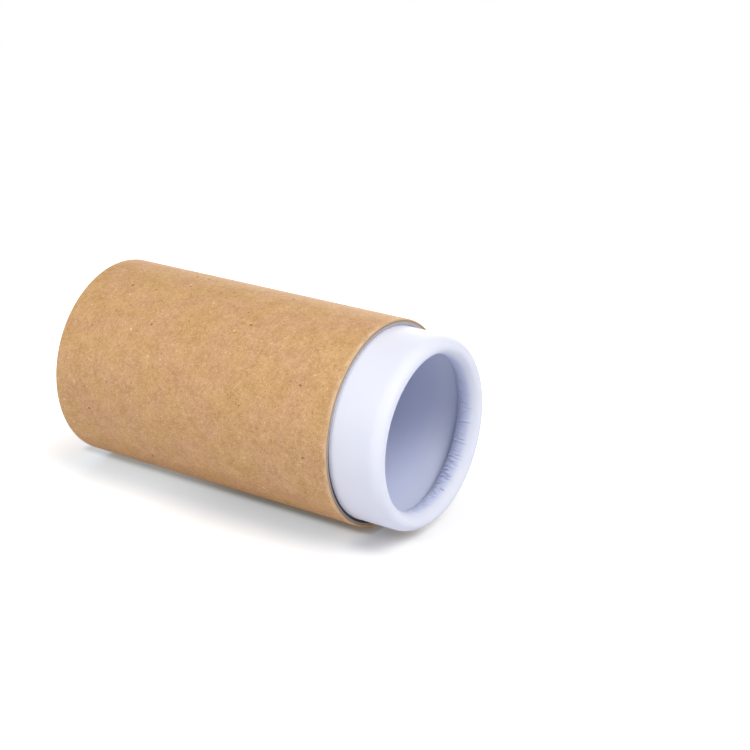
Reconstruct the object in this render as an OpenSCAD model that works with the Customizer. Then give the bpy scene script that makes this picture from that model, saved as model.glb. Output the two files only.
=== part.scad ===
// Paper tube gift box: a round kraft paperboard tube with a white inner tube.
// The inner tube stands out of the mouth as a neck for a slip-on lid, and its end is rolled inwards.
// Lengths are in millimetres. The tube stands on its base, centred on the origin, with its mouth towards +Z.

/* [Outer tube] */
// Outside diameter of the kraft tube
tube_d = 42; // [32:0.5:80]
// Length of the kraft tube, from its foot to its cut mouth
tube_h = 69; // [40:0.5:160]
// Thickness of the kraft board
tube_wall = 1.18; // [0.8:0.02:2]
// Width of the small bevel that cutting leaves on the outer edges
edge_bevel = 0.15; // [0.05:0.05:0.3]

/* [Inner tube] */
// Height of the neck above the cut mouth of the kraft tube
neck_h = 11; // [8:0.5:25]
// Thickness of the white paper wall
inner_wall = 1; // [0.6:0.05:1.2]
// Thickness of the glue coat that fills the space between the two tubes
glue_coat = 0.22; // [0.1:0.01:0.4]
// Depth of the open line around the neck, from the cut mouth down to the glue
glue_depth = 0.1; // [0.05:0.05:0.3]

/* [Rolled rim] */
// Width of the roll across the rim
roll_w = 3.8; // [3.2:0.1:5]
// How much taller than wide the roll is
roll_extra = 1.5; // [0.1:0.1:3]
// Roundness of the top of the roll, from a tight fold at 0 to a full circle at 1
roll_round_share = 0.5; // [0.2:0.05:0.9]
// Space between the cut edge of the roll and the wall that it turns back to
roll_gap = 0.2; // [0.1:0.05:0.4]

/* [Base] */
// Thickness of the base disc
base_t = 1.5; // [1:0.1:3]
// How far the base disc lies above the foot of the kraft tube
base_recess = 1; // [0.5:0.1:3]
// Space around the base disc
base_gap = 0.1; // [0.05:0.01:0.2]

/* [Hidden] */
$fn = 128;

KRAFT = [0.82, 0.65, 0.47];
WHITE_PAPER = [0.92, 0.93, 0.97];
KRAFT_DISC = [0.77, 0.61, 0.44];

tube_r = tube_d / 2;
bore_r = tube_r - tube_wall;
neck_r = bore_r - glue_coat;
inside_r = neck_r - inner_wall;

inner_foot_z = base_recess + base_t;
glue_top_z = tube_h - glue_depth;
rim_top_z = tube_h + neck_h;

// half the width and half the height of the roll, and the place of its middle
roll_half_w = roll_w / 2;
roll_half_h = roll_half_w + roll_extra / 2;
roll_mid_r = neck_r - roll_half_w;
roll_mid_z = rim_top_z - roll_half_h;

// radius of the end arcs of the roll's outside, always thicker than the paper and narrower than the roll
roll_end_r = inner_wall + (roll_half_w - inner_wall) * roll_round_share;
// radius of its side arcs, which run on smoothly from the end arcs
roll_side_r = (pow(roll_half_w, 2) + pow(roll_half_h - roll_end_r, 2) - pow(roll_end_r, 2))
    / (2 * (roll_half_w - roll_end_r));

module outer_tube() {
    color(KRAFT)
        rotate_extrude()
            polygon([
                [bore_r, 0],
                [tube_r - edge_bevel, 0],
                [tube_r, edge_bevel],
                [tube_r, tube_h - edge_bevel],
                [tube_r - edge_bevel, tube_h],
                [bore_r, tube_h]
            ]);
}

// An oval of four arcs about the middle of the roll, drawn in by the given thickness.
module roll_oval(inset) {
    end_r = roll_end_r - inset;
    side_r = roll_side_r - inset;
    end_z = roll_half_h - roll_end_r;
    side_x = roll_side_r - roll_half_w;
    // height at which a side arc meets an end arc
    meet_z = end_z * side_r / (roll_side_r - roll_end_r);
    translate([roll_mid_r, roll_mid_z]) {
        for (side = [-1, 1])
            translate([0, side * end_z])
                circle(r = end_r);
        intersection() {
            translate([side_x, 0])
                circle(r = side_r);
            translate([-side_x, 0])
                circle(r = side_r);
            square([roll_w, 2 * meet_z], center = true);
        }
    }
}

// Section of the rim: the wall turns over the top, down the inside and back under to the wall.
module roll_section() {
    difference() {
        roll_oval(0);
        roll_oval(inner_wall);
        translate([inside_r - roll_gap, roll_mid_z - roll_half_h])
            square([inner_wall + roll_gap, roll_half_h]);
    }
}

module inner_tube() {
    color(WHITE_PAPER)
        rotate_extrude() {
            translate([inside_r, inner_foot_z])
                square([inner_wall, roll_mid_z - inner_foot_z]);
            translate([neck_r, inner_foot_z])
                square([glue_coat, glue_top_z - inner_foot_z]);
            roll_section();
        }
}

module base_disc() {
    color(KRAFT_DISC)
        translate([0, 0, base_recess])
            cylinder(h = base_t, r = bore_r - base_gap);
}

outer_tube();
inner_tube();
base_disc();
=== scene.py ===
"""Looks of a paper tube gift box: a kraft tube with a white inner tube whose rim is rolled inwards.

The tube stands upright in its own frame, with +Z along its axis. The camera is turned so that the picture
shows it lying on its side on a pale floor. Lengths are in metres, or in millimetres where a name ends
in _MM.
"""

import math

import bmesh
import bpy
import numpy as np
from mathutils import Matrix, Vector


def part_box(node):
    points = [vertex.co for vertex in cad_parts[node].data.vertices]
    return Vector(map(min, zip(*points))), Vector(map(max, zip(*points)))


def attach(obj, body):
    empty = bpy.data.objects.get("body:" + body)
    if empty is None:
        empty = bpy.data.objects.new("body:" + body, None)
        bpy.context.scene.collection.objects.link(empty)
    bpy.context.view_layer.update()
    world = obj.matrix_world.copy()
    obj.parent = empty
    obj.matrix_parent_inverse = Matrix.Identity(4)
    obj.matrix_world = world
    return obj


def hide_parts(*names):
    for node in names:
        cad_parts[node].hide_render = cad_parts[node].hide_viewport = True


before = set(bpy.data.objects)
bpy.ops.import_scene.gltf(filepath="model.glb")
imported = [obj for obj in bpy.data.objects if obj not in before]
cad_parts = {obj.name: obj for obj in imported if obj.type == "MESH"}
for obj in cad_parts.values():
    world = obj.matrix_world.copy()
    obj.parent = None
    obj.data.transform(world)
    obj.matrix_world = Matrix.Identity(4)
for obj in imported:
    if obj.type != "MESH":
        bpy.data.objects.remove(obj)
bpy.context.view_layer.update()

MM = 0.001
AXIS = Vector((0, 0, 1))
CIRCLE = 2 * math.pi
CIRCLE_DEGREES = 360
RISING = (0.0, 1.0)
FALLING = (1.0, 0.0)
WHITE = (1.0, 1.0, 1.0, 1.0)
BLACK = (0.0, 0.0, 0.0, 1.0)

# Sizes read from the frame
TUBE_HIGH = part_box("outer_tube")[1]
INNER_LOW, INNER_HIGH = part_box("inner_tube")
DISC_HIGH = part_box("base_disc")[1]
TUBE_R = TUBE_HIGH.x
MOUTH_Z = TUBE_HIGH.z
RIM_Z = INNER_HIGH.z
FOOT_Z = INNER_LOW.z
BORE_R = INNER_HIGH.x
DISC_TOP_Z = DISC_HIGH.z

# Sizes of the inner tube and its roll
GLUE = 0.22 * MM
GLUE_SET_BACK = 0.1 * MM
PAPER = 1.0 * MM
ROLL_HALF_W = 1.9 * MM
ROLL_HALF_H = 2.65 * MM
ROLL_END_R = 1.45 * MM
ROLL_GAP = 0.2 * MM
NECK_R = BORE_R - GLUE
INSIDE_R = NECK_R - PAPER
GLUE_Z = MOUTH_Z - GLUE_SET_BACK
# The middle of the roll's section, the section's lowest height and the radius of the opening that it leaves
ROLL_R = NECK_R - ROLL_HALF_W
ROLL_Z = RIM_Z - ROLL_HALF_H
ROLL_FOOT_Z = RIM_Z - 2 * ROLL_HALF_H
OPENING_R = NECK_R - 2 * ROLL_HALF_W

# Steps of the inner tube's mesh about the axis, and rings along its walls
PLAIN_STEPS = 360
NECK_RINGS = 6
WALL_RINGS = 8
SHARP_ANGLE = math.radians(40)
# Turns around the roll's section, in degrees from outwards over the top. The fine ones have the puckers.
ROLL_TURN = 6
FINE_TURN = 3
FINE_FIRST = 135
FINE_LAST = 252
HOLLOW_TURN = 30
LOWEST = 270

# Puckers of the roll's inner face, with lengths and the band where they lie in degrees around its section
PUCKERS = 330
PUCKER_SEED = 7
PUCKER_WIDTHS = (0.11 * MM, 0.2 * MM)
PUCKER_LENGTHS = (8, 18)
PUCKER_HEIGHTS = (0.06 * MM, 0.34 * MM)
PUCKER_BAND = (168, 246)
# Share of the step between puckers by which each may move, and share of its width from its middle to its
# ridge and to its furrow
PUCKER_MOVE_SHARE = 0.5
PUCKER_RIDGE_SHARE = 0.8
# Azimuth where puckers are highest, how far that reaches, and the share of their height that is left beyond
PUCKER_AZIMUTH = math.radians(-112)
PUCKER_REACH = math.radians(58)
PUCKER_LEAST_SHARE = 0.3

# Noises of the papers: waves to the millimetre, detail and roughness
HUE_NOISE = (0.15, 2.0, 0.5)
CLOUD_NOISE = (0.3, 3.0, 0.5)
MOTTLE_NOISE = (1.1, 2.0, 0.5)
KRAFT_GRAIN_NOISE = (3.4, 2.0, 0.65)
FIBRE_NOISE = (2.6, 2.0, 0.5)
EDGE_HIGHLIGHT_NOISE = (0.5, 2.0, 0.5)
BOARD_NOISE = (2.4, 4.0, 0.65)
WHITE_CLOUD_NOISE = (0.12, 2.0, 0.5)
WHITE_GRAIN_NOISE = (4.0, 3.0, 0.6)
STREAK_NOISE = (1.9, 3.0, 0.6)
# Values of a noise between which a share runs from none to all
NARROW_RANGE = (0.36, 0.64)
WIDE_RANGE = (0.3, 0.7)
FIBRE_RANGE = (0.58, 0.72)
EDGE_HIGHLIGHT_RANGE = (0.3, 0.6)
# Shifts that keep textures from falling on the same places
HUE_SHIFT_MM = (40.0, 7.0, 11.0)
FLECK_SHIFT_MM = (13.0, 5.0, 71.0)
DISC_SHIFT_MM = (91.0, 33.0, 57.0)

# Colours of the kraft paper, and what one step of lightness adds to them
KRAFT_PINKISH = (0.65, 0.374, 0.19, 1.0)
KRAFT_YELLOWISH = (0.65, 0.384, 0.169, 1.0)
KRAFT_STEP = (0.07, 0.054, 0.034)
KRAFT_SPECK = (0.16, 0.075, 0.03, 1.0)
# The pale fleck colour is also the painted highlight along the mouth's edge
KRAFT_FLECK_AND_HIGHLIGHT = (0.9, 0.72, 0.5, 1.0)
# Steps of lightness that each texture spans
CLOUD_STEPS = 3.0
MOTTLE_STEPS = 3.2
GRAIN_STEPS = 1.9
FIBRE_STEPS = 0.8
# Shares of the grain and the fibres in the paper's height
KRAFT_GRAIN_SHARE = 0.6
KRAFT_FIBRE_SHARE = 0.35
# Kinds of fibre: turn about the axis in radians for each mm of height, squeeze, and shift along it in mm
FIBRE_KINDS = (
    (0.034, (1.0, 1.0, 0.18), 3.0),
    (-0.03, (1.0, 1.0, 0.2), 17.0),
    (0.0, (0.2, 0.2, 1.0), 29.0),
)
# Kinds of dark speck and pale fleck: cells to the millimetre, rareness, largest radius in mm and strength
SPECK_KINDS = ((0.45, 0.75, 0.36, 0.7), (1.9, 0.72, 0.24, 0.24))
FLECK_KINDS = ((0.45, 0.78, 0.4, 0.5), (1.6, 0.74, 0.26, 0.3))
# Shares of the largest radius: how far below nothing a spot's size begins, and how soft its edge is
SPOT_BELOW_SHARE = 0.2
SPOT_EDGE_SHARE = 0.25
# Shares of painted highlight along the kraft tube's mouth edge, patchy by a noise
EDGE_HIGHLIGHT_SHARES = (0.1, 0.5)

# Colours of the cut board's grey plies and kraft ply, the ply dark brown and paler at its outer edge as
# painted highlight, and of the seam around the neck, dark grey and near black on its shaded side as painted
# shade
BOARD_GREYS = ((0.40, 0.385, 0.41, 1.0), (0.50, 0.485, 0.52, 1.0))
PLY_BROWN_AND_HIGHLIGHT = ((0.34, 0.22, 0.13, 1.0), (0.66, 0.43, 0.25, 1.0))
SEAM_JOINT_GREY = (0.36, 0.345, 0.36, 1.0)
SEAM_PAINTED_SHADE = (0.03, 0.027, 0.027, 1.0)
SEAM_SHADE_DARK_SHARE = 0.97
# Shares of the bore's radius, towards the seam's shaded side, where the painted shade begins and where it is
# full
SEAM_SHADE_SHARES = (-0.05, 0.85)

# Colours of the white paper: outside; inside, from deep down to the roll, darker and bluer as painted shade;
# on the roll's folded-in face, darker as painted shade; in grain; and in the crease, as painted shade
WHITE_OUTSIDE = ((0.85, 0.87, 0.98, 1.0), (0.865, 0.88, 0.985, 1.0))
WHITE_INSIDE_PAINTED_SHADE = ((0.75, 0.795, 0.99, 1.0), (0.81, 0.848, 0.99, 1.0))
WHITE_FOLDED_PAINTED_SHADE = (0.72, 0.765, 0.96, 1.0)
WHITE_GRAIN = (0.70, 0.72, 0.86, 1.0)
WHITE_CREASE_PAINTED_SHADE = (0.42, 0.44, 0.58, 1.0)
DISC_WHITES = ((0.78, 0.80, 0.92, 1.0), (0.82, 0.836, 0.94, 1.0))
# Shares of the grain in the colour and in the height, of the crease's painted shade, and of the streaks'
# squeeze
WHITE_GRAIN_TINT_SHARE = 0.05
WHITE_GRAIN_HEIGHT_SHARE = 0.25
CREASE_PAINTED_SHADE_SHARE = 0.6
STREAK_SQUEEZE_SHARE = 0.12

# Finish of each paper: strength and depth of its bump, roughness and specular level
KRAFT_FINISH = (0.35, 0.05 * MM, 0.7, 0.28)
WHITE_FINISH = (0.5, 0.06 * MM, 0.55, 0.3)
DISC_FINISH = (0.3, 0.05 * MM, 0.62, 0.5)

# Reaches over which one look turns into the next, upwards from the mouth, the foot or the disc's top
CUT_UPPER_MM = (-0.12, -0.04)
CUT_LOWER_MM = (0.04, 0.12)
EDGE_HIGHLIGHT_REACH_MM = (-1.1, -0.2)
DISC_TOP_REACH_MM = (-0.1, -0.05)
# The same outwards from the bore, the kraft tube's outside or the neck, and upwards from the inner foot
CUT_BORE_MM = (0.1, 0.3)
SEAM_SHADE_RING_MM = (0.2, 0.65)
PLY_RING_MM = (-0.65, -0.5)
PLY_HIGHLIGHT_EDGE_MM = (-0.4, -0.25)
GLUE_RING_MM = (0.02, 0.08)
GLUE_RISE_MM = (0.0, 1.0)
# The same outwards from the inside wall, and upwards from the roll's lowest height
WITHIN_RING_MM = (0.2, 0.3)
CREASE_SHADE_RING_MM = (0.1, 0.2)
WITHIN_RISE_MM = (-0.1, 0.0)
DEEP_SHADE_RISE_MM = (-10.0, -2.0)
CREASE_SHADE_WALL_MM = (-1.8, -0.4)
CREASE_SHADE_EDGE_MM = (0.1, 0.6)
# The same from the middle of the roll's section, and where the streaks fade between the opening and there
FOLDED_RING_MM = (-0.2, 0.0)
FOLDED_RISE_MM = (0.3, 1.5)
STREAK_FROM_OPENING_MM = 0.1
STREAK_FROM_MIDDLE_MM = 0.4

# Half the floor's width, its colour, and its colour near the kraft paper, against the brown light from it
FLOOR_HALF = 400 * MM
FLOOR_COLOUR = (0.815, 0.815, 0.815, 1.0)
FLOOR_COLOUR_NEAR = (0.6, 0.8, 0.98, 1.0)
FLOOR_NEAR_REACH = (0.0, 20 * MM)
# The same two colours for the light that it throws back
FLOOR_BOUNCE = (0.83, 0.845, 0.9, 1.0)
FLOOR_BOUNCE_NEAR = (0.52, 0.37, 0.22, 1.0)
FLOOR_BOUNCE_REACH = (4 * MM, 20 * MM)
# Light that the camera sees added to it: less of it next to the tube, more far away and at the foot
FLOOR_LIFT = 0.265
FLOOR_LIFT_REACH = (-0.2 * MM, 2.4 * MM)
FLOOR_LIFT_NECK_REACH = (0.0, 7 * MM)
FLOOR_HAZE = 0.4
FLOOR_HAZE_REACH = (8 * MM, 32 * MM)
FLOOR_FOOT = 0.13
FLOOR_FOOT_REACH = (14 * MM, 42 * MM)
# Light that the floor gives to the narrow wedge between itself and the tube
FLOOR_GLOW = 0.34
FLOOR_GLOW_COLOUR = (1.0, 0.86, 0.7, 1.0)
FLOOR_GLOW_REACH = (0.0, 5 * MM)
# Strips of the floor from which distances are measured: from and to along the tube, then sideways
TUBE_STRIP = (4 * MM, 70 * MM, -7 * MM, 7 * MM)
CONTACT_STRIP = (-5 * MM, 70 * MM, -7 * MM, 7 * MM)
NECK_STRIP = (73 * MM, 74 * MM, 4 * MM, 11 * MM)
KRAFT_STRIP = (8 * MM, 58 * MM, -7 * MM, 7 * MM)
WEDGE_STRIP = (2 * MM, 78 * MM, -8.5 * MM, 7 * MM)

# The lying tube: its upper side and its side towards the camera, as directions in its own frame
UP_AZIMUTH = math.radians(22.5)
UP = Vector((math.cos(UP_AZIMUTH), math.sin(UP_AZIMUTH), 0))
SIDE = AXIS.cross(UP)
# The side towards which the seam around the neck and the board beside it get painted shade: the lying tube's
# lower side, towards the camera
SEAM_SHADE_TURN = math.radians(148)
SEAM_SHADE_SIDE = UP * math.cos(SEAM_SHADE_TURN) + SIDE * math.sin(SEAM_SHADE_TURN)

# The camera's place from the centre of the foot, and its view
CAMERA_RISE = 132.9 * MM
CAMERA_SIDE = 262.8 * MM
CAMERA_ALONG = 243.8 * MM
CAMERA_ELEVATION = math.radians(21.24)
CAMERA_TURN = math.radians(55.93)
CAMERA_LENS_MM = 83.42
CAMERA_SENSOR_MM = 36.0
CAMERA_NEAREST = 10 * MM

# Strength of the light from all around, and the lamps' distance from the tube
WORLD_LIGHT = 0.33
LAMP_DISTANCE = 600 * MM
# Each lamp's name, direction along the lying tube's up, side and axis, size, and power in watts
LAMPS = (
    ("key", (1.0, 0.15, 0.75), 300 * MM, 1.3),
    ("front", (0.8, 0.3, 1.0), 400 * MM, 0.69),
    ("side", (0.78, 1.05, -0.25), 300 * MM, 1.01),
    ("back", (0.1, -0.92, -0.4), 400 * MM, 1.7),
)


class Nodes:
    """Builds one node tree with short calls."""

    def __init__(self, tree):
        self.tree = tree
        self.tree.nodes.clear()

    def add(self, kind, inputs=None, **settings):
        """Adds a node. An input is a value, or the output socket of another node."""
        made = self.tree.nodes.new(kind)
        for name, value in settings.items():
            setattr(made, name, value)
        for name, value in (inputs or {}).items():
            socket = made.inputs[name]
            if isinstance(value, bpy.types.NodeSocket):
                self.tree.links.new(value, socket)
            else:
                socket.default_value = value
        return made

    def math(self, operation, one, other=0.0):
        return self.add("ShaderNodeMath", {0: one, 1: other}, operation=operation).outputs[0]

    def swing(self, value, strength):
        """Turns 0 to 1 into as much below zero as above it, strength from end to end."""
        inputs = {0: value, 1: strength, 2: -strength / 2}
        return self.add("ShaderNodeMath", inputs, operation="MULTIPLY_ADD").outputs[0]

    def vector(self, operation, one, other):
        return self.add("ShaderNodeVectorMath", {0: one, 1: other}, operation=operation).outputs[0]

    def scaled(self, vector, factor):
        return self.add("ShaderNodeVectorMath", {0: vector, "Scale": factor}, operation="SCALE").outputs[0]

    def spread(self, value, reach, ends=RISING):
        """Maps a reach, from its first value to its last, onto the two ends, smoothly and clamped."""
        inputs = {"Value": value, 1: reach[0], 2: reach[1], 3: ends[0], 4: ends[1]}
        return self.add("ShaderNodeMapRange", inputs, interpolation_type="SMOOTHSTEP").outputs[0]

    def mix(self, share, one, other):
        """Mixes two colours."""
        return self.add("ShaderNodeMix", {0: share, 6: one, 7: other}, data_type="RGBA").outputs[2]

    def mix_values(self, share, one, other):
        return self.add("ShaderNodeMix", {0: share, 2: one, 3: other}).outputs[0]

    def noise(self, vector, kind):
        """A noise of one of the kinds above."""
        per_mm, detail, roughness = kind
        inputs = {"Vector": vector, "Scale": per_mm, "Detail": detail, "Roughness": roughness}
        return self.add("ShaderNodeTexNoise", inputs).outputs["Fac"]

    def place_mm(self):
        """The surface point in the tube's frame, in millimetres."""
        return self.scaled(self.add("ShaderNodeTexCoord").outputs["Object"], 1 / MM)

    def split(self, vector):
        made = self.add("ShaderNodeSeparateXYZ", {0: vector})
        return made.outputs[0], made.outputs[1], made.outputs[2]

    def radius(self, vector):
        """Distance of a point from the axis."""
        x, y, _ = self.split(vector)
        square = self.math("ADD", self.math("MULTIPLY", x, x), self.math("MULTIPLY", y, y))
        return self.math("SQRT", square)

    def twisted(self, vector, turn_per_mm, squeeze):
        """The point turned about the axis by its height, so that squeezed noise runs in helical streaks."""
        _, _, z = self.split(vector)
        angle = self.math("MULTIPLY", z, turn_per_mm)
        inputs = {"Vector": vector, "Angle": angle}
        turned = self.add("ShaderNodeVectorRotate", inputs, rotation_type="Z_AXIS")
        return self.vector("MULTIPLY", turned.outputs[0], squeeze)

    def seen(self):
        """1 for rays from the camera, from a gloss or through something clear, else 0."""
        path = self.add("ShaderNodeLightPath").outputs
        seen = self.math("MAXIMUM", path["Is Camera Ray"], path["Is Glossy Ray"])
        return self.math("MAXIMUM", seen, path["Is Transmission Ray"])

    def surface(self, shader):
        self.add("ShaderNodeOutputMaterial", {"Surface": shader})


def new_material(name):
    """A new material and its empty node tree."""
    made = bpy.data.materials.new(name)
    made.use_nodes = True
    return made, Nodes(made.node_tree)


def beside(place, reach_mm):
    """A reach in mm that is given from a place in metres."""
    return place / MM + reach_mm[0], place / MM + reach_mm[1]


def paper_surface(n, tone, height, finish):
    """Ends a paper's material, with its colour, the height for its bump and one of the finishes above."""
    bump_strength, bump_depth, roughness, specular = finish
    bump = n.add("ShaderNodeBump", {"Strength": bump_strength, "Distance": bump_depth, "Height": height})
    shader = n.add("ShaderNodeBsdfPrincipled", {
        "Base Color": tone,
        "Roughness": roughness,
        "Specular IOR Level": specular,
        "Normal": bump.outputs[0],
    })
    n.surface(shader.outputs[0])


def kraft_paper(n, point):
    """Colour and height of kraft paper: cloudy, with fine grain, pale fibres and flecks, and dark specks."""
    hue = n.noise(n.vector("ADD", point, HUE_SHIFT_MM), HUE_NOISE)
    grain = n.noise(point, KRAFT_GRAIN_NOISE)
    fibres = kraft_fibres(n, point)
    shade = 0.0
    for texture, steps in (
        (n.noise(point, CLOUD_NOISE), CLOUD_STEPS),
        (n.noise(point, MOTTLE_NOISE), MOTTLE_STEPS),
        (n.spread(grain, NARROW_RANGE), GRAIN_STEPS),
    ):
        shade = n.math("ADD", n.swing(texture, steps), shade)
    shade = n.math("ADD", shade, n.math("MULTIPLY", fibres, FIBRE_STEPS))
    base = n.mix(n.spread(hue, NARROW_RANGE), KRAFT_PINKISH, KRAFT_YELLOWISH)
    tone = n.vector("ADD", base, n.scaled(KRAFT_STEP, shade))
    grain_height = n.math("MULTIPLY", grain, KRAFT_GRAIN_SHARE)
    fibre_height = n.math("MULTIPLY", fibres, KRAFT_FIBRE_SHARE)
    return spotted(n, point, tone), n.math("ADD", grain_height, fibre_height)


def kraft_fibres(n, point):
    """Short pale strokes in three directions, as a share from 0 to 1."""
    fibres = 0.0
    for turn, squeeze, shift in FIBRE_KINDS:
        along = n.twisted(n.vector("ADD", point, (0.0, 0.0, shift)), turn, squeeze)
        fibres = n.math("MAXIMUM", fibres, n.spread(n.noise(along, FIBRE_NOISE), FIBRE_RANGE))
    return fibres


def spotted(n, point, tone):
    """The tone with dark specks and pale flecks on it."""
    shifted = n.vector("ADD", point, FLECK_SHIFT_MM)
    for place, kinds, tint in ((point, SPECK_KINDS, KRAFT_SPECK), (shifted, FLECK_KINDS, KRAFT_FLECK_AND_HIGHLIGHT)):
        for per_mm, rareness, radius_mm, strength in kinds:
            spots = round_spots(n, place, per_mm, rareness, radius_mm)
            tone = n.mix(n.math("MULTIPLY", spots, strength), tone, tint)
    return tone


def round_spots(n, point, per_mm, rareness, radius_mm):
    """Scattered round spots, as a share from 0 to 1. Few cells have one if the rareness nears 1."""
    cells = n.add("ShaderNodeTexVoronoi", {"Vector": point, "Scale": per_mm, "Randomness": 1.0})
    chosen = n.split(cells.outputs["Color"])[0]
    largest = radius_mm * per_mm
    size = n.spread(chosen, (rareness, 1.0), (-SPOT_BELOW_SHARE * largest, largest))
    within = n.math("SUBTRACT", size, cells.outputs["Distance"])
    return n.spread(within, (0.0, SPOT_EDGE_SHARE * largest))


def seam_shade_share(n, point):
    """Share of painted shade on the seam around the neck and the board beside it, from 0 to 1: full towards
    one side, fading towards the other.
    """
    x, y, _ = n.split(point)
    towards = n.math("MULTIPLY", x, SEAM_SHADE_SIDE.x / (BORE_R / MM))
    towards = n.math("ADD", towards, n.math("MULTIPLY", y, SEAM_SHADE_SIDE.y / (BORE_R / MM)))
    return n.spread(towards, SEAM_SHADE_SHARES)


def grey_board(n, point):
    """Colour and height of the cut board: a kraft ply, paler at its outer edge as painted highlight, then
    grey plies, turning near black beside the bore on one side as painted shade.
    """
    ring = n.radius(point)
    fuzz = n.noise(point, BOARD_NOISE)
    grey = n.mix(n.spread(fuzz, WIDE_RANGE), *BOARD_GREYS)
    # painted shade: the board beside the bore turns near black towards the lying tube's lower side
    near = n.spread(ring, beside(BORE_R, SEAM_SHADE_RING_MM), (SEAM_SHADE_DARK_SHARE, 0.0))
    grey = n.mix(n.math("MULTIPLY", near, seam_shade_share(n, point)), grey, SEAM_PAINTED_SHADE)
    # painted highlight: the kraft ply turns pale tan at its outer edge
    ply = n.mix(n.spread(ring, beside(TUBE_R, PLY_HIGHLIGHT_EDGE_MM)), *PLY_BROWN_AND_HIGHLIGHT)
    return n.mix(n.spread(ring, beside(TUBE_R, PLY_RING_MM)), grey, ply), fuzz


def tube_material():
    """The kraft tube: kraft paper outside, with painted highlight along the mouth's edge, and grey board
    where it is cut.
    """
    made, n = new_material("kraft_tube")
    point = n.place_mm()
    _, _, z = n.split(point)
    paper, paper_height = kraft_paper(n, point)
    board, board_height = grey_board(n, point)
    upper = n.spread(z, beside(MOUTH_Z, CUT_UPPER_MM))
    lower = n.spread(z, CUT_LOWER_MM, FALLING)
    bore = n.spread(n.radius(point), beside(BORE_R, CUT_BORE_MM), FALLING)
    cut = n.math("MAXIMUM", n.math("MAXIMUM", upper, lower), bore)
    # painted highlight: pale kraft in patches along the mouth's edge, where the rounded edge catches light
    highlight_patches = n.spread(n.noise(point, EDGE_HIGHLIGHT_NOISE), EDGE_HIGHLIGHT_RANGE, EDGE_HIGHLIGHT_SHARES)
    edge_highlight = n.math("MULTIPLY", n.spread(z, beside(MOUTH_Z, EDGE_HIGHLIGHT_REACH_MM)), highlight_patches)
    tone = n.mix(cut, n.mix(edge_highlight, paper, KRAFT_FLECK_AND_HIGHLIGHT), board)
    paper_surface(n, tone, n.mix_values(cut, paper_height, board_height), KRAFT_FINISH)
    return made


def within_share(n, z, ring):
    """1 on the wall inside the tube, below the roll, else 0."""
    wall = n.spread(ring, beside(INSIDE_R, WITHIN_RING_MM), FALLING)
    return n.math("MULTIPLY", wall, n.spread(z, beside(ROLL_FOOT_Z, WITHIN_RISE_MM), FALLING))


def folded_share(n, z, ring):
    """1 on the roll's inner and lower face, else 0."""
    inner = n.spread(ring, beside(ROLL_R, FOLDED_RING_MM), FALLING)
    return n.math("MULTIPLY", inner, n.spread(z, beside(ROLL_Z, FOLDED_RISE_MM), FALLING))


def painted_crease_shade_share(n, z, ring):
    """Share of painted shade in the crease under the roll, on the wall just below it and on the roll's lower
    edge, strongest at the roll's lowest height.
    """
    wall = n.spread(z, beside(ROLL_FOOT_Z, CREASE_SHADE_WALL_MM), (0.0, CREASE_PAINTED_SHADE_SHARE))
    edge = n.spread(z, beside(ROLL_FOOT_Z, CREASE_SHADE_EDGE_MM), FALLING)
    inner = n.spread(ring, beside(INSIDE_R, CREASE_SHADE_RING_MM), FALLING)
    return n.math("MULTIPLY", n.math("MULTIPLY", wall, edge), inner)


def glue_share(n, z, ring):
    """1 on the glue around the inner tube, above its foot, else 0."""
    outer = n.spread(ring, beside(NECK_R, GLUE_RING_MM))
    return n.math("MULTIPLY", outer, n.spread(z, beside(FOOT_Z, GLUE_RISE_MM)))


def roll_streaks(n, point, z, ring):
    """Height of the fine lines that run across the roll's inner face, from 0 to 1."""
    x, y, _ = n.split(point)
    opening = OPENING_R / MM
    turned = {
        0: n.math("MULTIPLY", n.math("DIVIDE", x, ring), opening),
        1: n.math("MULTIPLY", n.math("DIVIDE", y, ring), opening),
        2: n.math("MULTIPLY", z, STREAK_SQUEEZE_SHARE),
    }
    lines = n.noise(n.add("ShaderNodeCombineXYZ", turned).outputs[0], STREAK_NOISE)
    face_reach = (opening + STREAK_FROM_OPENING_MM, ROLL_R / MM - STREAK_FROM_MIDDLE_MM)
    return n.math("MULTIPLY", lines, n.spread(ring, face_reach, FALLING))


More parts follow.
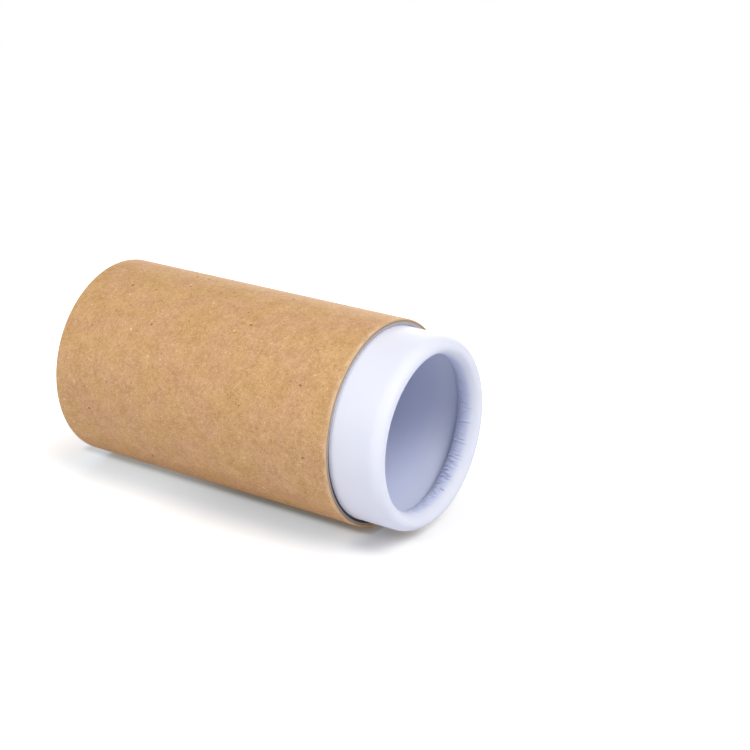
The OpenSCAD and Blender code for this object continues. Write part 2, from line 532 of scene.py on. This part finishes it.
def liner_material():
    """The white inner tube: smooth bluish white paper, with a dark line where it enters the kraft tube that
    turns near black on one side as painted shade, and painted shade inside the tube, on the roll's inner
    face and in the crease under it.
    """
    made, n = new_material("white_liner")
    point = n.place_mm()
    _, _, z = n.split(point)
    ring = n.radius(point)
    grain = n.noise(point, WHITE_GRAIN_NOISE)
    outside = n.mix(n.spread(n.noise(point, WHITE_CLOUD_NOISE), WIDE_RANGE), *WHITE_OUTSIDE)
    # painted shade: the inside wall is darker and bluer than the outside, darker still deep down
    inside = n.mix(n.spread(z, beside(ROLL_FOOT_Z, DEEP_SHADE_RISE_MM)), *WHITE_INSIDE_PAINTED_SHADE)
    tone = n.mix(within_share(n, z, ring), outside, inside)
    # painted shade: the roll's inner and lower face is darker and bluer than the outside
    tone = n.mix(folded_share(n, z, ring), tone, WHITE_FOLDED_PAINTED_SHADE)
    tone = n.mix(n.spread(grain, WIDE_RANGE, (0.0, WHITE_GRAIN_TINT_SHARE)), tone, WHITE_GRAIN)
    # painted shade: a dark band in the crease where the roll meets the inside wall
    tone = n.mix(painted_crease_shade_share(n, z, ring), tone, WHITE_CREASE_PAINTED_SHADE)
    # painted shade: the dark seam turns near black towards the lying tube's lower side
    seam = n.mix(seam_shade_share(n, point), SEAM_JOINT_GREY, SEAM_PAINTED_SHADE)
    tone = n.mix(glue_share(n, z, ring), tone, seam)
    grain_height = n.math("MULTIPLY", grain, WHITE_GRAIN_HEIGHT_SHARE)
    paper_surface(n, tone, n.math("ADD", grain_height, roll_streaks(n, point, z, ring)), WHITE_FINISH)
    return made


def disc_material():
    """The base disc: kraft paper below, white paper above."""
    made, n = new_material("base_disc")
    point = n.place_mm()
    _, _, z = n.split(point)
    paper, height = kraft_paper(n, n.vector("ADD", point, DISC_SHIFT_MM))
    white = n.mix(n.spread(n.noise(point, WHITE_GRAIN_NOISE), WIDE_RANGE), *DISC_WHITES)
    top = n.spread(z, beside(DISC_TOP_Z, DISC_TOP_REACH_MM))
    paper_surface(n, n.mix(top, paper, white), height, DISC_FINISH)
    return made


def from_strip(n, place, floor_strip):
    """Distance of a place on the floor from a strip of it, zero within the strip."""
    square = 0.0
    for direction, (first, last) in ((AXIS, floor_strip[:2]), (SIDE, floor_strip[2:])):
        inputs = {0: place, 1: tuple(direction)}
        at = n.add("ShaderNodeVectorMath", inputs, operation="DOT_PRODUCT").outputs["Value"]
        away = n.math("ABSOLUTE", n.math("SUBTRACT", at, (first + last) / 2))
        beyond = n.math("MAXIMUM", n.math("SUBTRACT", away, (last - first) / 2), 0.0)
        square = n.math("ADD", n.math("MULTIPLY", beyond, beyond), square)
    return n.math("SQRT", square)


def seen_light(n, place):
    """Strength of the light that the camera sees added to the floor."""
    lift = n.spread(from_strip(n, place, CONTACT_STRIP), FLOOR_LIFT_REACH, (0.0, FLOOR_LIFT))
    neck_lift = n.spread(from_strip(n, place, NECK_STRIP), FLOOR_LIFT_NECK_REACH, (0.0, FLOOR_LIFT))
    lift = n.math("MINIMUM", lift, neck_lift)
    haze = n.spread(from_strip(n, place, TUBE_STRIP), FLOOR_HAZE_REACH, (0.0, FLOOR_HAZE))
    foot = n.spread(n.split(place)[2], FLOOR_FOOT_REACH, (FLOOR_FOOT, 0.0))
    return n.math("ADD", n.math("ADD", lift, haze), foot)


def floor_material():
    """A white floor that keeps the shadow. It is clear from behind, and plain white far from the tube."""
    made, n = new_material("floor")
    geometry = n.add("ShaderNodeNewGeometry")
    place = geometry.outputs["Position"]
    seen = n.seen()
    from_kraft = from_strip(n, place, KRAFT_STRIP)
    wedge = n.spread(from_strip(n, place, WEDGE_STRIP), FLOOR_GLOW_REACH, FALLING)
    tone = n.mix(n.spread(from_kraft, FLOOR_NEAR_REACH), FLOOR_COLOUR_NEAR, FLOOR_COLOUR)
    bounce = n.mix(n.spread(from_kraft, FLOOR_BOUNCE_REACH), FLOOR_BOUNCE_NEAR, FLOOR_BOUNCE)
    bounce = n.mix(wedge, bounce, BLACK)
    glow = n.math("MULTIPLY", wedge, FLOOR_GLOW)
    paint = n.add("ShaderNodeBsdfDiffuse", {"Color": n.mix(seen, bounce, tone)})
    light = n.add("ShaderNodeEmission", {
        "Color": n.mix(seen, FLOOR_GLOW_COLOUR, WHITE),
        "Strength": n.mix_values(seen, glow, seen_light(n, place)),
    })
    lit = n.add("ShaderNodeAddShader", {0: paint.outputs[0], 1: light.outputs[0]})
    clear = n.add("ShaderNodeBsdfTransparent")
    behind = {0: geometry.outputs["Backfacing"], 1: lit.outputs[0], 2: clear.outputs[0]}
    n.surface(n.add("ShaderNodeMixShader", behind).outputs[0])
    made.cycles.emission_sampling = "NONE"
    return made


def oval_point(angle, inset):
    """A point (r, z) on the roll's oval of four arcs, where its outward normal has this angle."""
    end_z = ROLL_HALF_H - ROLL_END_R
    side_r = (ROLL_HALF_W**2 + end_z**2 - ROLL_END_R**2) / (2 * (ROLL_HALF_W - ROLL_END_R))
    side_x = side_r - ROLL_HALF_W
    out, up = math.cos(angle), math.sin(angle)
    if abs(up) * side_x > abs(out) * end_z:
        centre, radius = (0.0, math.copysign(end_z, up)), ROLL_END_R
    else:
        centre, radius = (-math.copysign(side_x, out), 0.0), side_r
    reach = radius - inset
    return ROLL_R + centre[0] + reach * out, ROLL_Z + centre[1] + reach * up


def oval_points(turns, inset=0.0):
    """Points (r, z) on the roll's oval at these turns around its section."""
    return [oval_point(math.radians(turn), inset) for turn in turns]


def angles_about(steps):
    """Angles of evenly spaced points about the axis."""
    return np.linspace(0, CIRCLE, steps, endpoint=False)


def ring_points(r, z, angles):
    """Points about the axis at these angles. Radius and height are one number, or one for each angle."""
    heights = np.broadcast_to(z, angles.shape)
    return np.stack([r * np.cos(angles), r * np.sin(angles), heights], axis=1)


def plain_rings(profile, steps):
    """Rings of points about the axis, one for each (r, z) of the profile."""
    angles = angles_about(steps)
    return [ring_points(r, z, angles) for r, z in profile]


def puckered_rings(turns, steps):
    """Rings on the roll's inner face, at these turns around its section, raised and sunk by the puckers."""
    angles = angles_about(steps)
    rings = []
    for turn, rise in zip(turns, pucker_rises(np.array(turns), angles)):
        angle = math.radians(turn)
        r, z = oval_point(angle, 0.0)
        rings.append(ring_points(r + math.cos(angle) * rise, z + math.sin(angle) * rise, angles))
    return rings


def pucker_rises(turns, angles):
    """Height of the puckers: a row for each turn around the roll's section, a column for each angle."""
    chance = np.random.default_rng(PUCKER_SEED)
    rises = np.zeros((len(turns), len(angles)))
    for k in range(PUCKERS):
        centre = (k + chance.uniform(-PUCKER_MOVE_SHARE, PUCKER_MOVE_SHARE)) / PUCKERS * CIRCLE
        width = chance.uniform(*PUCKER_WIDTHS) / OPENING_R
        length = chance.uniform(*PUCKER_LENGTHS)
        height = chance.triangular(PUCKER_HEIGHTS[0], PUCKER_HEIGHTS[0], PUCKER_HEIGHTS[1])
        middle = chance.uniform(*PUCKER_BAND)
        from_worst = math.remainder(centre - PUCKER_AZIMUTH, CIRCLE)
        worst_share = math.exp(-((from_worst / PUCKER_REACH) ** 2))
        height *= PUCKER_LEAST_SHARE + (1 - PUCKER_LEAST_SHARE) * worst_share
        along = np.exp(-(((turns - middle) / length) ** 2))
        away = np.angle(np.exp(1j * (angles - centre))) / width
        ridge = np.exp(-((away - PUCKER_RIDGE_SHARE) ** 2))
        furrow = np.exp(-((away + PUCKER_RIDGE_SHARE) ** 2))
        rises += height * along[:, None] * (ridge - furrow)[None, :]
    return rises


def liner_rings():
    """Rings of the inner tube in order: up its outside, around the roll, back within it, down the inside."""
    tail_r = INSIDE_R - ROLL_GAP
    outside = [(BORE_R, FOOT_Z), (BORE_R, GLUE_Z)]
    outside += [(NECK_R, z) for z in np.linspace(GLUE_Z, ROLL_Z, NECK_RINGS)]
    outside += oval_points(range(ROLL_TURN, FINE_FIRST - FINE_TURN, ROLL_TURN))
    before = oval_points([FINE_FIRST - FINE_TURN])
    fine = list(range(FINE_FIRST, FINE_LAST, FINE_TURN))
    after = oval_points([FINE_LAST])
    tail = oval_points(range(FINE_LAST + ROLL_TURN, CIRCLE_DEGREES, ROLL_TURN))
    tail = [(r, z) for r, z in tail if z < ROLL_Z and r < tail_r]
    tail_z = tail[-1][1]
    inside = [(tail_r, tail_z), (tail_r, tail_z + PAPER)]
    inside += oval_points(range(LOWEST, 0, -HOLLOW_TURN), PAPER)
    inside += [(INSIDE_R, z) for z in np.linspace(ROLL_Z, FOOT_Z, WALL_RINGS)]
    rings = plain_rings(outside, PLAIN_STEPS) + plain_rings(before, 2 * PLAIN_STEPS)
    rings += puckered_rings(fine, 4 * PLAIN_STEPS)
    rings += plain_rings(after, 2 * PLAIN_STEPS) + plain_rings(tail + inside, PLAIN_STEPS)
    return rings


def faces_between(one, one_count, other, other_count):
    """Faces between two rings, given by first point and count. One may have twice the other's points."""
    if one_count == other_count:
        return [
            (one + k, one + (k + 1) % one_count, other + (k + 1) % one_count, other + k)
            for k in range(one_count)
        ]
    if one_count > other_count:
        one, one_count, other, other_count = other, other_count, one, one_count
    faces = []
    for k in range(one_count):
        near, far = one + k, one + (k + 1) % one_count
        first, middle, last = (other + (2 * k + step) % other_count for step in range(3))
        faces += [(near, first, middle), (near, middle, far), (far, middle, last)]
    return faces


def ring_mesh(name, rings):
    """A closed mesh through these rings, the last of which joins the first."""
    starts = np.cumsum([0] + [len(ring) for ring in rings])
    faces = []
    for i in range(len(rings)):
        j = (i + 1) % len(rings)
        faces += faces_between(int(starts[i]), len(rings[i]), int(starts[j]), len(rings[j]))
    mesh = bpy.data.meshes.new(name)
    mesh.from_pydata(np.concatenate(rings).tolist(), [], faces)
    shell = bmesh.new()
    shell.from_mesh(mesh)
    bmesh.ops.recalc_face_normals(shell, faces=shell.faces)
    shell.to_mesh(mesh)
    shell.free()
    mesh.shade_smooth()
    mesh.set_sharp_from_angle(angle=SHARP_ANGLE)
    return mesh


def new_object(name, data):
    """A new object in the scene."""
    made = bpy.data.objects.new(name, data)
    bpy.context.scene.collection.objects.link(made)
    return made


def make_liner():
    """The inner tube as one closed mesh about the axis, with fine puckers on the roll's inner face."""
    made = new_object("rolled_inner_tube", ring_mesh("rolled_inner_tube", liner_rings()))
    made.data.materials.append(liner_material())
    return made


def make_floor():
    """The plane on which the tube lies in the picture, tangent to its side."""
    middle = AXIS * (MOUTH_Z / 2) - UP * TUBE_R
    corners = []
    for side, along in ((-1, -1), (1, -1), (1, 1), (-1, 1)):
        corners.append(middle + SIDE * (FLOOR_HALF * side) + AXIS * (FLOOR_HALF * along))
    mesh = bpy.data.meshes.new("floor")
    mesh.from_pydata([tuple(corner) for corner in corners], [], [(0, 1, 2, 3)])
    if mesh.polygons[0].normal.dot(UP) < 0:
        mesh.flip_normals()
    mesh.materials.append(floor_material())
    made = new_object("floor", mesh)


def lying(rise, side, along):
    """A direction or place given along the lying tube's up, its side towards the camera and its axis."""
    return UP * rise + SIDE * side + AXIS * along


def aim(made, place, backwards, up):
    """Puts an object at a place, looking away from the backwards direction, with up at its view's top."""
    z = backwards.normalized()
    x = up.cross(z).normalized()
    y = z.cross(x)
    turn = Matrix((x, y, z)).transposed().to_4x4()
    made.matrix_world = Matrix.Translation(place) @ turn


def make_camera():
    """The camera at the photograph's viewing angle."""
    data = bpy.data.cameras.new("camera")
    data.lens = CAMERA_LENS_MM
    data.sensor_width = CAMERA_SENSOR_MM
    data.clip_start = CAMERA_NEAREST
    made = new_object("camera", data)
    level = math.cos(CAMERA_ELEVATION)
    backwards = lying(
        math.sin(CAMERA_ELEVATION),
        level * math.sin(CAMERA_TURN),
        level * math.cos(CAMERA_TURN),
    )
    aim(made, lying(CAMERA_RISE, CAMERA_SIDE, CAMERA_ALONG), backwards, UP)
    bpy.context.scene.camera = made


def make_lamp(name, towards, size, watts):
    """A round soft lamp that shines on the middle of the tube."""
    data = bpy.data.lights.new(name, "AREA")
    data.shape = "DISK"
    data.size = size
    data.energy = watts
    direction = lying(*towards)
    middle = AXIS * (RIM_Z / 2)
    aim(new_object(name, data), middle + direction.normalized() * LAMP_DISTANCE, direction, AXIS)


def make_world():
    """Even white light from all around, seen as plain white."""
    world = bpy.data.worlds.new("studio")
    world.use_nodes = True
    bpy.context.scene.world = world
    n = Nodes(world.node_tree)
    strength = n.spread(n.seen(), RISING, (WORLD_LIGHT, 1.0))
    light = n.add("ShaderNodeBackground", {"Color": WHITE, "Strength": strength})
    n.add("ShaderNodeOutputWorld", {"Surface": light.outputs[0]})


def dress(node, material):
    """Gives a CAD node this material alone."""
    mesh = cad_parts[node].data
    mesh.materials.clear()
    mesh.materials.append(material)


dress("outer_tube", tube_material())
dress("base_disc", disc_material())

liner = make_liner()
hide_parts("inner_tube")
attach(liner, "root")

make_camera()
make_floor()
make_world()
for lamp in LAMPS:
    make_lamp(*lamp)

bpy.context.scene.view_settings.view_transform = "Standard"

bpy.context.view_layer.update()
